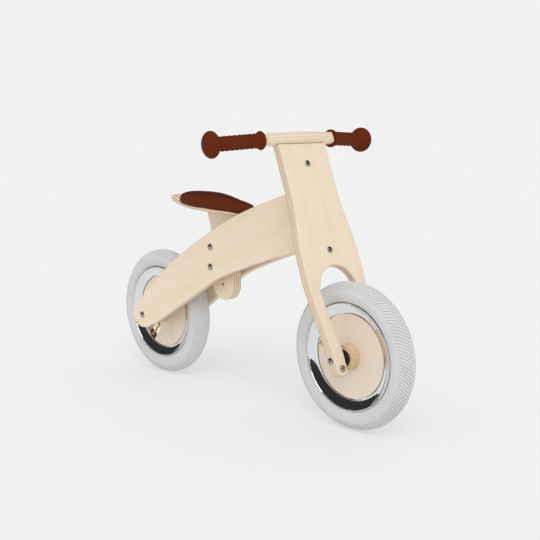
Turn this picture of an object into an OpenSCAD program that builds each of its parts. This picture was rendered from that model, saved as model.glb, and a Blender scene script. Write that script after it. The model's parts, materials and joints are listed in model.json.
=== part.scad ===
// Wooden balance bike for a small child: two bowed plywood arms carry the rear wheel and
// the saddle, and meet at a head that a one-piece plywood fork board steers in.
// Millimetres. +X forward, +Y to the rider's left, +Z up. The origin is on the floor,
// midway between the axles.

/* [Overall] */
// Distance between the two axles
wheelbase = 545; // [455:5:660]
// Outer diameter of the tyres
tyre_od = 270; // [250:5:325]
// Lean of the fork board from the vertical, degrees
rake = 20.5; // [17:0.5:24]

/* [Wheels] */
// Width of the tyres
tyre_w = 45; // [40:1:54]
// Wall of the tyres
tyre_wall = 4; // [3:0.5:4.5]
// Radius of the wooden wheel discs
disc_r = 78; // [72:1:79]
// Thickness of the wooden wheel discs
disc_t = 18; // [15:1:21]
// Diameter of the wooden hub spacers beside each disc
hub_d = 47; // [40:1:56]
// Radius of the rims' outer edge
rim_r = 97; // [96:1:100]
// Sheet thickness of the rims
rim_t = 1.2; // [1:0.1:1.4]
// Width of the valve cut-out in each disc
notch_w = 32; // [27:1:38]
// Where the rear valve stands at rest, degrees from forward towards up
rear_valve_at = -128; // [-170:1:-100]
// Where the front valve stands at rest, degrees from forward towards up
front_valve_at = 160; // [100:1:200]

/* [Axles and fasteners] */
// Diameter of both axles
axle_d = 10; // [8:0.5:12]
// Thread diameter of the bolts
bolt_d = 6; // [5:0.5:7]
// Head diameter of the button head bolts
bolt_head_d = 12; // [10:0.5:14]
// Head diameter of the domed bolts in the tips of the fork legs
tip_head_d = 14; // [12:0.5:17]

/* [Frame] */
// Thickness of the two frame arms
arm_t = 15; // [13:0.5:18]
// Radius of the arms' round rear ends
arm_end_r = 28; // [24:1:33]
// Length of the steering head along its axis
head_h = 109; // [91:1:130]
// Width between the arms at the middle of the head
head_gap = 11; // [9:0.5:13]
// Depth of the wooden block between the arms, back from the steering axis
head_block_l = 62; // [52:1:74]

/* [Fork] */
// Thickness of the fork board
board_t = 16; // [14:0.5:20]
// Width of the fork board at its top
board_top_w = 123; // [103:1:148]
// Radius of the arch over the front wheel
arch_r = 47.5; // [44:0.5:50]
// Room between the front tyre and the top of the arch
arch_gap = 31; // [26:1:37]
// Width of each fork leg at the axle
leg_w = 29; // [25:1:34]
// Distance of the steering axis behind the front axle, square to the fork
steer_back = 33; // [30:0.5:40]
// Steering angle at which the board meets the head, degrees
steer_stop = 40.5; // [34:0.5:42]
// Diameter of the steering post
post_d = 14; // [12:0.5:15]

/* [Handlebar] */
// Width of the handlebar, front to back
bar_w = 28; // [24:1:33]
// Thickness of the handlebar
bar_t = 21; // [18:0.5:25]
// Length of the wooden handlebar between the grips
bar_l = 178; // [150:2:212]
// Radius of the handlebar's forward bow
bar_bow_r = 620; // [520:10:740]
// Length of each grip
grip_l = 120; // [100:1:144]
// Diameter of the grips' round ends
grip_end_d = 48; // [40:1:56]

/* [Saddle] */
// Thickness of the seat post board
seat_post_t = 22; // [18:1:26]
// Distance between the height holes of the seat post
hole_pitch = 40; // [34:1:46]
// Height of the saddle base above the middle of the seat bolts
saddle_rise = 87; // [80:1:100]
// Nose-down tilt of the saddle, degrees
saddle_tilt = 5; // [2:0.5:7]
// Thickness of the plywood saddle base
base_t = 12; // [10:0.5:14]
// Height of the padding above the base
cushion_h = 20; // [16:1:24]

/* [Hidden] */
$fn = 64;
fit = 0.05;          // radial clearance of a shaft or bolt in its hole
run_gap = 0.3;       // gap between faces that turn against each other
spot = 1;            // depth of the flat cut under a bolt head
dowel_r = 4;
past = 150;          // reach of a cut that leaves the part
axle_z = tyre_od / 2;
rear_x = -wheelbase / 2;
front_x = wheelbase / 2;

// Hub and axle stack, measured outwards from the middle of each wheel
flange_t = 3;
washer_t = 2.4;
front_hub_end = 28.5;
rear_hub_end = 49;
hub_bore = 8;
axle_thread = 18;
leg_inner = front_hub_end + run_gap + washer_t + run_gap;
rear_seat = rear_hub_end + run_gap + washer_t + run_gap;
rear_inner = rear_seat - 1.2;    // bare inner face; the washer sits in a shallow spot face
front_face = leg_inner + leg_w - spot;
front_axle_half = front_face - 2;

// Fork heights, measured up the board from the front axle
board_front = board_t / 2 + 1;
board_back = board_front - board_t;
arch_top = axle_z + arch_gap;
arch_z = arch_top - arch_r;
lower_bolt_z = arch_top + 29;
head_low = lower_bolt_z + 13.5;
head_top = head_low + head_h;
upper_bolt_z = head_top + 41;
board_top = upper_bolt_z + 39.5;
block_half = 18;
block_low = lower_bolt_z - 17;
block_high = upper_bolt_z + 16;
block_back = -steer_back - post_d / 2 - 9;

// Places on the side view, for a point given in the tilted fork frame
function fork_x(x, z) = front_x + x * cos(rake) - z * sin(rake);
function fork_z(x, z) = axle_z + x * sin(rake) + z * cos(rake);
function fork_pt(x, z) = [fork_x(x, z), fork_z(x, z)];

// The arms in plan: a V that opens towards the rear
head_mid = (head_low + head_top) / 2;
head_pt = fork_pt(-steer_back, head_mid);
arm_v = atan((rear_inner - head_gap / 2) / (head_pt[0] - rear_x));
function inner_y(x) = rear_inner - (x - rear_x) * tan(arm_v);
function outer_y(x) = inner_y(x) + arm_t / cos(arm_v);
rear_face = outer_y(rear_x) - spot;
rear_axle_half = rear_face - 2;

// The head's front corners meet the board's back at the steering stop
head_half = outer_y(fork_x(-steer_back, head_top));
stop_reach = steer_back + board_back;
nose = (stop_reach - head_half * sin(steer_stop)) / cos(steer_stop);
bush_r = post_d / 2 + 3;
bush_l = 22;
head_flat = 26;
head_dowel_l = head_gap + 24;

// The arms in side view: offsets from the straight line between rear axle and head
chord = head_pt - [rear_x, axle_z];
chord_l = norm(chord);
function arm_pt(along, off) =
    [rear_x, axle_z] + along * chord + off * [-chord[1], chord[0]] / chord_l;
arm_top_line = [[0.07, 40], [0.2, 56], [0.38, 69], [0.57, 74], [0.76, 71.5]];
arm_low_line = [[0.07, -31], [0.18, -27.5], [0.34, -22], [0.5, -17], [0.65, -25], [0.8, -36.5]];

// Outline of the fork board: [height, half width] down its outer and its inner edge
tip_r = leg_w / 2 - 0.75;
tip_y = leg_inner + tip_r;
tip_z = -17;
tip_bolt_l = board_t - 3;
board_edge = [[board_top, board_top_w / 2], [upper_bolt_z, board_top_w / 2 - 0.8],
    [head_top, board_top_w / 2 - 0.6], [head_low + 62, arch_r + 16], [head_low + 14, arch_r + 24.5],
    [arch_top + 14, arch_r + 27.5], [arch_z + 14, arch_r + 27.5], [arch_z * 0.72, arch_r + 22],
    [arch_z * 0.45, leg_inner + leg_w + 4.5], [arch_z * 0.2, leg_inner + leg_w + 1],
    [0, leg_inner + leg_w], [tip_z, tip_y + tip_r]];
leg_edge = [[arch_z, arch_r], [arch_z * 0.76, arch_r - 3.2], [arch_z * 0.57, arch_r - 5],
    [arch_z * 0.37, leg_inner + 6.7], [arch_z * 0.17, leg_inner + 1.6], [8, leg_inner]];

// Saddle and seat post
seat_pt = arm_pt(0.513, 29);
seat_x = seat_pt[0];
seat_bolt_z = [seat_pt[1] + hole_pitch / 2, seat_pt[1] - hole_pitch / 2];
spare_hole_z = seat_pt[1] - 1.5 * hole_pitch;
saddle_z = seat_pt[1] + saddle_rise;
seat_face = outer_y(seat_x) - spot;
seat_spacer_end = inner_y(seat_x) + 1.2;
spacer_r = 8.5;
post_half = 32;
sleeve_r = bolt_d / 2 + 1;
sleeve_l = 20;
head_h_bolt = 3.4;
saddle_screw_l = 38;
saddle_screw_x = [-28, 0, 28];
saddle_screw_r = 2.25;
// Half widths of the saddle along its length, from the seat post axis, front positive
cushion_line = [[-118, 18], [-106, 36], [-86, 48], [-58, 52], [-24, 46], [12, 34], [42, 23.5],
    [66, 17], [77, 9]];
cushion_ends = [-123, 80];
base_line = [[-160, 14], [-146, 23], [-124, 31], [-104, 39], [-82, 44.5], [-56, 47.5],
    [-24, 41.5], [12, 29.5], [42, 19.5], [62, 13.5], [72, 6]];
base_ends = [-165, 75];
skirt_low = 4;
crown = 7;

// Grips and handlebar
bar_z = board_top + bar_t / 2;
bar_mid_x = 4.5;
bar_end_angle = asin(bar_l / 2 / bar_bow_r);
bar_screw_y = 24;
bar_screw_r = 2.5;
bar_screw_depth = 45;
bar_screw_sunk = 4;
bar_dowel_y = 44;
bar_dowel_half = 12;
tenon_r = 9;
tenon_l = grip_l - 24;
grip_r = 13.3;
grip_flange_r = 17;

// Section of a wheel, out from the middle
well_r = disc_r + 0.3;
seat_half = 15.6;
flange_half = seat_half + rim_t;
bead_r = rim_r - 8;
section_r = (tyre_od / 2 - bead_r + 1) / 2;
section_mid = tyre_od / 2 - section_r;
tube_wall = 1.5;
tube_y = tyre_w / 2 - tyre_wall - 1.3;
tube_r = section_r - tyre_wall - 1.5;
tube_mid = section_mid + 0.5;
tape_r = well_r + rim_t + 1.9;
tape_t = 0.8;
valve_r = 3.2;
valve_hole_r = 3.6;
valve_thin_r = 2.6;
valve_from = 46;
cap_from = 43;
cap_l = 10.5;
rim_screw_r = 1.7;
rim_screw_l = 20;

birch = "wheat";
steel = "silver";
rust = "sienna";

// ---------- shared shapes ----------

// One point of a smooth curve that runs from b to c, with neighbours a and d
function curve_pt(a, b, c, d, t) =
    0.5 * (2 * b + (c - a) * t + (2 * a - 5 * b + 4 * c - d) * t * t
        + (3 * b - a - 3 * c + d) * t * t * t);
// A smooth curve through all the points of a list
function curve(p, steps = 5) = [
    for (i = [0 : len(p) - 2]) for (k = [0 : steps - 1])
        curve_pt(p[max(i - 1, 0)], p[i], p[i + 1], p[min(i + 2, len(p) - 1)], k / steps),
    p[len(p) - 1]
];
function back_to_front(p) = [for (i = [len(p) - 1 : -1 : 0]) p[i]];
function mirrored(p) = [for (q = back_to_front(p)) [q[0], -q[1]]];
function arc(c, r, from, to, steps = 12) =
    [for (k = [0 : steps]) let (a = from + (to - from) * k / steps) c + r * [cos(a), sin(a)]];

// A rod along Y between two places
module rod_y(r, from, to) {
    translate([0, from, 0]) rotate([-90, 0, 0]) cylinder(r = r, h = to - from);
}
// A ring along Y
module ring_y(r, bore, from, to) {
    difference() {
        rod_y(r, from, to);
        rod_y(bore, from - 1, to + 1);
    }
}
// A prism along Y from a side view outline
module side_prism(outline, from, to) {
    translate([0, to, 0]) rotate([90, 0, 0]) linear_extrude(height = to - from) polygon(outline);
}
module in_fork() {
    translate([front_x, 0, axle_z]) rotate([0, -rake, 0]) children();
}
module at_saddle() {
    translate([seat_x, 0, saddle_z]) rotate([0, saddle_tilt, 0]) children();
}
module both_sides() {
    children();
    mirror([0, 1, 0]) children();
}
// A wheel is drawn flat and then stood up on its axle
module at_wheel(x) {
    translate([x, 0, axle_z]) rotate([90, 0, 0]) children();
}
// Button head bolt along +Z, its head on top of the face at z = 0
module button_bolt(length, head_d = bolt_head_d, tall = head_h_bolt) {
    socket_r = bolt_d / 3;
    difference() {
        rotate_extrude() polygon(concat(
            [[0, -length], [bolt_d / 2, -length], [bolt_d / 2, 0], [head_d / 2, 0],
             [head_d / 2, tall * 0.25]],
            [for (a = [15 : 15 : 90]) [head_d / 2 * cos(a), tall * (0.25 + 0.75 * sin(a))]]));
        translate([0, 0, tall - 2.2]) cylinder(r = socket_r, h = 3, $fn = 6);
    }
}

// ---------- frame ----------

module arm_side_view() {
    chord_angle = atan2(chord[1], chord[0]);
    rear_end = arc([rear_x, axle_z], arm_end_r, 96 + chord_angle, 268 + chord_angle, 16);
    low = curve(concat([for (p = arm_low_line) arm_pt(p[0], p[1])],
        [fork_pt(-steer_back - head_flat, head_low)]));
    top = curve(concat([for (p = arm_top_line) arm_pt(p[0], p[1])],
        [fork_pt(-steer_back - head_flat, head_top)]));
    polygon(concat(rear_end, low,
        [fork_pt(-steer_back + nose, head_low), fork_pt(-steer_back + nose, head_top)],
        back_to_front(top)));
}
module head_bore() {
    in_fork() translate([-steer_back, 0, head_low - 1]) cylinder(r = bush_r, h = head_h + 2);
}
module head_dowel_places() {
    for (z = [head_low + 24, head_mid, head_top - 24])
        in_fork() translate([-steer_back - head_flat, 0, z]) children();
}
module arm_left_plate() {
    difference() {
        intersection() {
            translate([0, past, 0]) rotate([90, 0, 0]) linear_extrude(height = past) arm_side_view();
            translate([rear_x, rear_inner, 0]) rotate([0, 0, -arm_v])
                translate([-arm_end_r * 2, 0, 0]) cube([wheelbase * 1.2, arm_t, board_top * 2]);
        }
        head_bore();
        head_dowel_places() rod_y(dowel_r + fit, -1, head_dowel_l / 2 + 1);
        translate([rear_x, 0, axle_z]) {
            rod_y(axle_d / 2 + fit, 0, past);
            rod_y(axle_d + 1, 0, rear_seat);
            rod_y(bolt_head_d / 2 + 1.5, rear_face, past);
        }
        for (z = seat_bolt_z) translate([seat_x, 0, z]) {
            rod_y(sleeve_r + fit, 0, past);
            rod_y(spacer_r + 1, 0, seat_spacer_end);
            rod_y(bolt_head_d / 2 + 1, seat_face, past);
        }
    }
}
module frame_arm_left() { color(birch) arm_left_plate(); }
module frame_arm_right() { color(birch) mirror([0, 1, 0]) arm_left_plate(); }

module head_block() {
    x_back = fork_x(-steer_back - head_block_l, head_mid);
    x_front = fork_x(-steer_back + nose, head_low) + 2;
    color("tan") difference() {
        intersection() {
            translate([0, 60, 0]) rotate([90, 0, 0]) linear_extrude(height = 120) arm_side_view();
            linear_extrude(height = board_top * 2)
                polygon([[x_back, inner_y(x_back)], [x_front, inner_y(x_front)],
                         [x_front, -inner_y(x_front)], [x_back, -inner_y(x_back)]]);
        }
        head_bore();
        head_dowel_places() rod_y(dowel_r + fit, -past, past);
    }
}
module head_dowels() {
    color("burlywood") head_dowel_places() rod_y(dowel_r, -head_dowel_l / 2, head_dowel_l / 2);
}
// Flanged steering bush, flange at z = 0 and barrel down
module steering_bush() {
    color("dimgray") difference() {
        union() {
            translate([0, 0, -bush_l]) cylinder(r = bush_r - fit, h = bush_l);
            cylinder(r = bush_r + 3, h = flange_t);
        }
        translate([0, 0, -bush_l - 1]) cylinder(r = post_d / 2 + fit, h = bush_l + flange_t + 2);
    }
}
module head_bush_upper() { in_fork() translate([-steer_back, 0, head_top]) steering_bush(); }
module head_bush_lower() {
    in_fork() translate([-steer_back, 0, head_low]) mirror([0, 0, 1]) steering_bush();
}

// ---------- rear axle ----------

module rear_axle() {
    color(steel) translate([rear_x, 0, axle_z]) difference() {
        rod_y(axle_d / 2, -rear_axle_half, rear_axle_half);
        both_sides() rod_y(bolt_d / 2 + fit, rear_axle_half - axle_thread, rear_axle_half + 1);
    }
}
module rear_axle_bolts() {
    color(steel) translate([rear_x, 0, axle_z]) both_sides()
        translate([0, rear_face, 0]) rotate([-90, 0, 0]) button_bolt(axle_thread);
}
module rear_axle_washers() {
    color(steel) translate([rear_x, 0, axle_z]) both_sides()
        ring_y(axle_d, axle_d / 2 + fit, rear_hub_end + run_gap, rear_seat);
}

// ---------- saddle ----------

module seat_post() {
    top_d = saddle_z - spare_hole_z;
    side = curve([[post_half, 0], [post_half, top_d * 0.25], [post_half, top_d * 0.5],
        [post_half + 2, top_d * 0.66], [post_half + 9, top_d * 0.84], [post_half + 20, top_d * 1.06]]);
    outline = concat(arc([0, 0], post_half, 180, 360, 18), side,
        [for (p = back_to_front(side)) [-p[0], p[1]]]);
    color(birch) difference() {
        translate([seat_x, 0, spare_hole_z]) side_prism(outline, -seat_post_t / 2, seat_post_t / 2);
        at_saddle() translate([-150, -50, 0]) cube([300, 100, 60]);
        for (z = concat(seat_bolt_z, [spare_hole_z]))
            translate([seat_x, 0, z]) rod_y(bolt_d / 2 + fit, -50, 50);
        saddle_screw_places() translate([0, 0, -saddle_screw_l])
            cylinder(r = saddle_screw_r + fit, h = saddle_screw_l + 10);
    }
}
module seat_spacers() {
    color(steel) for (z = seat_bolt_z) translate([seat_x, 0, z]) both_sides()
        ring_y(spacer_r, sleeve_r + fit, seat_post_t / 2, seat_spacer_end);
}
module seat_bolts() {
    color(steel) for (z = seat_bolt_z) translate([seat_x, -seat_face, z]) rotate([90, 0, 0])
        button_bolt(2 * seat_face - 6);
}
module seat_sleeve_nuts() {
    color(steel) for (z = seat_bolt_z) translate([seat_x, seat_face, z]) rotate([-90, 0, 0])
        difference() {
            rotate_extrude() polygon(concat(
                [[bolt_d / 2 + fit, -sleeve_l], [sleeve_r, -sleeve_l], [sleeve_r, 0],
                 [bolt_head_d / 2, 0], [bolt_head_d / 2, head_h_bolt * 0.25]],
                [for (a = [15 : 15 : 90])
                    [bolt_head_d / 2 * cos(a), head_h_bolt * (0.25 + 0.75 * sin(a))]],
                [[0, -1], [bolt_d / 2 + fit, -1]]));
            translate([0, 0, head_h_bolt - 2.2]) cylinder(r = bolt_d / 3, h = 3, $fn = 6);
        }
}
module saddle_screw_places() {
    at_saddle() for (x = saddle_screw_x) translate([x, 0, 0]) children();
}
function saddle_outline(line, ends) =
    let (side = curve(concat([[ends[0], 0]], line, [[ends[1], 0]]), 4))
    concat([for (p = side) [p[0], -p[1]]], [for (i = [len(side) - 2 : -1 : 1]) side[i]]);
module saddle_base() {
    color(birch) difference() {
        at_saddle() linear_extrude(height = base_t) polygon(saddle_outline(base_line, base_ends));
        saddle_screw_places() {
            translate([0, 0, -1]) cylinder(r = saddle_screw_r + fit, h = base_t + 2);
            translate([0, 0, base_t - 3]) cylinder(r1 = saddle_screw_r + fit, r2 = 5.3, h = 3.01);
        }
    }
}
module saddle_screws() {
    color(steel) saddle_screw_places() translate([0, 0, base_t]) {
        translate([0, 0, -saddle_screw_l]) cylinder(r = saddle_screw_r, h = saddle_screw_l - 3);
        translate([0, 0, -3]) cylinder(r1 = saddle_screw_r, r2 = 5.2, h = 3);
    }
}
module saddle_cushion() {
    color(rust) at_saddle() difference() {
        union() {
            translate([0, 0, skirt_low]) linear_extrude(height = base_t + cushion_h - crown - skirt_low)
                polygon(saddle_outline(cushion_line, cushion_ends));
            translate([0, 0, base_t]) linear_extrude(height = cushion_h)
                polygon(saddle_outline([for (p = cushion_line) [p[0] * 0.86 - 3, p[1] * 0.78]],
                    cushion_ends * 0.88));
        }
        linear_extrude(height = base_t) polygon(saddle_outline(
            [for (p = base_line) [p[0], p[1] + 0.2]], [base_ends[0], base_ends[1] + 0.3]));
    }
}

// ---------- fork and steering ----------

module board_outline() {
    outer = [for (p = curve(board_edge)) [p[1], p[0]]];
    inner = [for (p = curve(leg_edge)) [p[1], p[0]]];
    tip = arc([tip_y, tip_z], tip_r, -12, -180, 14);
    half = concat(outer, tip, back_to_front(inner));
    arch = arc([0, arch_z], arch_r, 0, 90, 12);
    polygon(concat(half, [for (i = [1 : len(arch) - 1]) arch[i]],
        [for (i = [len(arch) - 2 : -1 : 1]) [-arch[i][0], arch[i][1]]],
        [for (p = back_to_front(half)) [-p[0], p[1]]]));
}
module fork_board() {
    color(birch) in_fork() difference() {
        translate([board_back, 0, 0]) rotate([90, 0, 90]) linear_extrude(height = board_t) board_outline();
        for (z = [lower_bolt_z, upper_bolt_z]) translate([board_back - 1, 0, z])
            rotate([0, 90, 0]) cylinder(r = bolt_d / 2 + fit, h = board_t + 2);
        rod_y(axle_d / 2 + fit, -past, past);
        both_sides() {
            rod_y(bolt_head_d / 2 + 0.5, front_face, past);
            translate([board_front - tip_bolt_l, tip_y, tip_z]) rotate([0, 90, 0])
                cylinder(r = bolt_d / 2 + fit, h = board_t);
            translate([1, bar_screw_y, board_top - bar_screw_depth]) cylinder(r = bar_screw_r, h = past);
            translate([1, bar_dowel_y, board_top - bar_dowel_half]) cylinder(r = dowel_r + fit, h = past);
        }
    }
}
// Hardwood block behind the board that holds one end of the steering post
module fork_block(low, high, bolt_z) {
    color("burlywood") in_fork() difference() {
        translate([block_back, -block_half, low]) cube([board_back - block_back, 2 * block_half, high - low]);
        translate([-steer_back, 0, low - 1]) cylinder(r = post_d / 2 + fit, h = high - low + 2);
        translate([block_back - 1, 0, bolt_z]) rotate([0, 90, 0]) cylinder(r = bolt_d / 2 + fit, h = 100);
    }
}
module fork_block_lower() { fork_block(block_low, head_low - flange_t - run_gap, lower_bolt_z); }
module fork_block_upper() { fork_block(head_top + flange_t + run_gap, block_high, upper_bolt_z); }
module steering_post() {
    color(steel) in_fork() difference() {
        translate([-steer_back, 0, block_low + 3]) cylinder(r = post_d / 2, h = block_high - block_low - 6);
        for (z = [lower_bolt_z, upper_bolt_z]) translate([block_back, 0, z])
            rotate([0, 90, 0]) cylinder(r = bolt_d / 2 + fit, h = 100);
    }
}
module fork_bolts() {
    color(steel) in_fork() for (z = [lower_bolt_z, upper_bolt_z])
        translate([board_front, 0, z]) rotate([0, 90, 0])
            button_bolt(board_front + steer_back + post_d / 2 - 1);
}

module fork_tip_bolts() {
    color(steel) in_fork() both_sides()
        translate([board_front, tip_y, tip_z]) rotate([0, 90, 0]) button_bolt(tip_bolt_l, tip_head_d, 5);
}

// ---------- front axle ----------

module front_axle() {
    color(steel) in_fork() difference() {
        rod_y(axle_d / 2, -front_axle_half, front_axle_half);
        both_sides() rod_y(bolt_d / 2 + fit, front_axle_half - axle_thread, front_axle_half + 1);
    }
}
module front_axle_bolts() {
    color(steel) in_fork() both_sides()
        translate([0, front_face, 0]) rotate([-90, 0, 0]) button_bolt(axle_thread);
}
module front_axle_washers() {
    color(steel) in_fork() both_sides()
        ring_y(9, axle_d / 2 + fit, front_hub_end + run_gap, leg_inner - run_gap / 3);
}

// ---------- handlebar ----------

// Carries its children from the middle of the bow to one end of the bar
module at_bar_end(side) {
    translate([bar_mid_x - bar_bow_r, 0, bar_z]) rotate([0, 0, side * bar_end_angle])
        translate([bar_bow_r, 0, 0]) rotate([side < 0 ? 90 : -90, 0, 0]) children();
}
module handlebar() {
    flat = bar_w / 2 - bar_t / 2;
    rim = arc([bar_bow_r + flat, 0], bar_t / 2, -90, 90, 10);
    inner = arc([bar_bow_r - flat, 0], bar_t / 2, 90, 270, 10);
    corner = bar_w / 2 - 1;
    color(birch) in_fork() difference() {
        union() {
            intersection() {
                translate([bar_mid_x - bar_bow_r, 0, bar_z])
                    rotate([0, 0, -bar_end_angle]) rotate_extrude(angle = 2 * bar_end_angle, $fn = 256)
                        polygon(concat(rim, inner));
                union() {
                    translate([bar_mid_x - 60, -bar_l / 2 + corner, bar_z - bar_t])
                        cube([120, bar_l - 2 * corner, 2 * bar_t]);
                    for (side = [-1, 1]) at_bar_end(side) translate([0, 0, -corner])
                        rotate([90, 0, 0]) translate([0, 0, -bar_t]) cylinder(r = corner + 1, h = 2 * bar_t);
                }
            }
            for (side = [-1, 1]) at_bar_end(side)
                translate([0, 0, -corner]) cylinder(r = tenon_r, h = corner + tenon_l);
        }
        for (side = [-1, 1]) {
            translate([1, side * bar_screw_y, board_top - 1]) cylinder(r = bar_screw_r, h = bar_t + 2);
            translate([1, side * bar_screw_y, board_top + bar_t - bar_screw_sunk]) cylinder(r = 5, h = 10);
            translate([1, side * bar_dowel_y, board_top - 1])
                cylinder(r = dowel_r + fit, h = bar_dowel_half + 1);
        }
    }
}
module handlebar_screws() {
    color(steel) in_fork() for (side = [-1, 1])
        translate([1, side * bar_screw_y, board_top + bar_t - bar_screw_sunk]) {
            mirror([0, 0, 1])
                cylinder(r = bar_screw_r - fit, h = bar_t - bar_screw_sunk + bar_screw_depth - 1);
            difference() {
                cylinder(r = 4.8, h = 3);
                translate([0, 0, 1.2]) cylinder(r = 2, h = 3, $fn = 6);
            }
        }
}
module handlebar_dowels() {
    color("burlywood") in_fork() for (side = [-1, 1])
        translate([1, side * bar_dowel_y, board_top - bar_dowel_half + 0.5])
            cylinder(r = dowel_r, h = 2 * bar_dowel_half - 1);
}
// Ringed rubber grip with a flange at z = 0 and a mushroom end
module grip() {
    end_r = grip_end_d / 2;
    end_half = 13;
    bulb = [for (a = [-60 : 15 : 90]) [max(end_r * cos(a), 0), grip_l - end_half + end_half * sin(a)]];
    rings = [for (z = [9 : 6 : grip_l - 2 * end_half - 4]) each
        [[grip_r - 0.8, z], [grip_r, z + 1], [grip_r, z + 4], [grip_r - 0.8, z + 5]]];
    color(rust) rotate_extrude() polygon(concat(
        [[tenon_r + fit, 0.2], [grip_flange_r - 1.5, 0.2], [grip_flange_r, 1.7], [grip_flange_r, 4],
         [grip_flange_r - 1.5, 5.5], [grip_r, 6.5]],
        rings, [[grip_r, grip_l - 2 * end_half]], bulb,
        [[0, tenon_l + 1], [tenon_r + fit, tenon_l + 1]]));
}
module grip_left() { in_fork() at_bar_end(1) grip(); }
module grip_right() { in_fork() at_bar_end(-1) grip(); }

// ---------- wheels ----------

function oval(r, y, mid, from, to, steps) =
    [for (k = [0 : steps]) let (a = from + (to - from) * k / steps) [mid + r * sin(a), y * cos(a)]];

module tyre() {
    outer = oval(section_r, tyre_w / 2, section_mid, -22, 202, 28);
    inner = oval(section_r - tyre_wall, tyre_w / 2 - tyre_wall, section_mid, 206, -26, 28);
    foot = [[rim_r + 0.3, seat_half - 0.1], [bead_r, seat_half - 0.1],
        [bead_r - 0.2, seat_half - 4.6], [rim_r, seat_half - 4.2]];
    rotate_extrude($fn = 128)
        polygon(concat(outer, [for (p = foot) [p[0], -p[1]]], inner, back_to_front(foot)));
}
module inner_tube(valve_at) {
    difference() {
        rotate_extrude($fn = 96) difference() {
            polygon(oval(tube_r, tube_y, tube_mid, 0, 345, 23));
            polygon(oval(tube_r - tube_wall, tube_y - tube_wall, tube_mid, 0, 345, 23));
        }
        valve_hole(valve_at, valve_r + fit, tube_mid);
    }
}
module valve_hole(valve_at, r, to) {
    rotate([0, 0, valve_at]) rotate([0, 90, 0]) cylinder(r = r, h = to);
}
module rim_tape(valve_at) {
    difference() {
        rotate_extrude($fn = 96) translate([tape_r, -seat_half / 2]) square([tape_t, seat_half]);
        valve_hole(valve_at, valve_hole_r, section_mid);
    }
}
module rim(valve_at) {
    hollow = [[well_r, 0], [well_r, 8.8], [well_r + 3.1, 13.2], [well_r + 9.2, flange_half],
        [rim_r, flange_half], [rim_r + 1, flange_half + 1.2]];
    seat = [[rim_r + 1.4, flange_half + 0.4], [rim_r + 0.2, seat_half],
        [well_r + 9.7, seat_half], [well_r + 4, 12.3], [well_r + rim_t, 8.2]];
    difference() {
        rotate_extrude($fn = 128) polygon(concat(hollow, seat, mirrored(seat), mirrored(hollow)));
        valve_hole(valve_at, valve_hole_r, section_mid);
        rim_screw_places(valve_at) translate([0, 0, -5]) cylinder(r = rim_screw_r + 0.3, h = 20);
    }
}
// Four radial screws, each with its axis along Z and its head seat at z = 0
module rim_screw_places(valve_at) {
    for (k = [0 : 3]) rotate([0, 0, valve_at + 45 + 90 * k])
        translate([well_r + rim_t + 0.1, 0, 0]) rotate([0, 90, 0]) children();
}
module rim_screws(valve_at) {
    rim_screw_places(valve_at) {
        translate([0, 0, -rim_screw_l]) cylinder(r = rim_screw_r, h = rim_screw_l);
        cylinder(r = 3.5, h = 1.4);
    }
}
module wheel_disc(valve_at) {
    notch_end = notch_w / 2 + 30;
    difference() {
        translate([0, 0, -disc_t / 2]) cylinder(r = disc_r, h = disc_t, $fn = 128);
        translate([0, 0, -disc_t]) cylinder(r = hub_bore, h = disc_t * 2);
        rotate([0, 0, valve_at]) translate([0, 0, -disc_t]) {
            translate([notch_end, 0, 0]) cylinder(r = notch_w / 2, h = disc_t * 2);
            translate([notch_end, -notch_w / 2, 0]) cube([disc_r, notch_w, disc_t * 2]);
        }
        rim_screw_places(valve_at) translate([0, 0, -rim_screw_l - 0.5])
            cylinder(r = rim_screw_r + fit, h = 2 * rim_screw_l);
    }
}
// The two hub spacers and bushes stand on the disc's faces
module hub_pair() {
    children();
    mirror([0, 0, 1]) children();
}
module hub_spacers(hub_end) {
    hub_pair() difference() {
        translate([0, 0, disc_t / 2]) cylinder(d = hub_d, h = hub_end - flange_t - disc_t / 2);
        translate([0, 0, disc_t / 2 - 1]) cylinder(r = hub_bore, h = hub_end);
    }
}
module hub_bushes(hub_end) {
    hub_pair() difference() {
        union() {
            translate([0, 0, hub_end - flange_t]) cylinder(r = hub_bore + 7, h = flange_t);
            translate([0, 0, disc_t / 2 - 4]) cylinder(r = hub_bore - fit, h = hub_end - disc_t / 2 + 1);
        }
        cylinder(r = axle_d / 2 + fit, h = hub_end + 1);
    }
}
module valve_stem(valve_at) {
    valve_l = tube_mid - tube_r + tube_wall - valve_from;
    rotate([0, 0, valve_at]) rotate([0, 90, 0]) {
        translate([0, 0, valve_from]) cylinder(r = valve_thin_r, h = valve_l);
        translate([0, 0, valve_from + 8]) cylinder(r = valve_r, h = valve_l - 8);
    }
}
module valve_nut(valve_at) {
    rotate([0, 0, valve_at]) rotate([0, 90, 0]) difference() {
        translate([0, 0, well_r - 4.5]) cylinder(r = 6, h = 4, $fn = 6);
        cylinder(r = valve_r + fit, h = well_r);
    }
}
module valve_cap(valve_at) {
    rotate([0, 0, valve_at]) rotate([0, 90, 0]) difference() {
        translate([0, 0, cap_from]) cylinder(r = valve_thin_r + 1.4, h = cap_l);
        translate([0, 0, cap_from + 2]) cylinder(r = valve_thin_r + fit, h = 2 * cap_l);
    }
}

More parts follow.
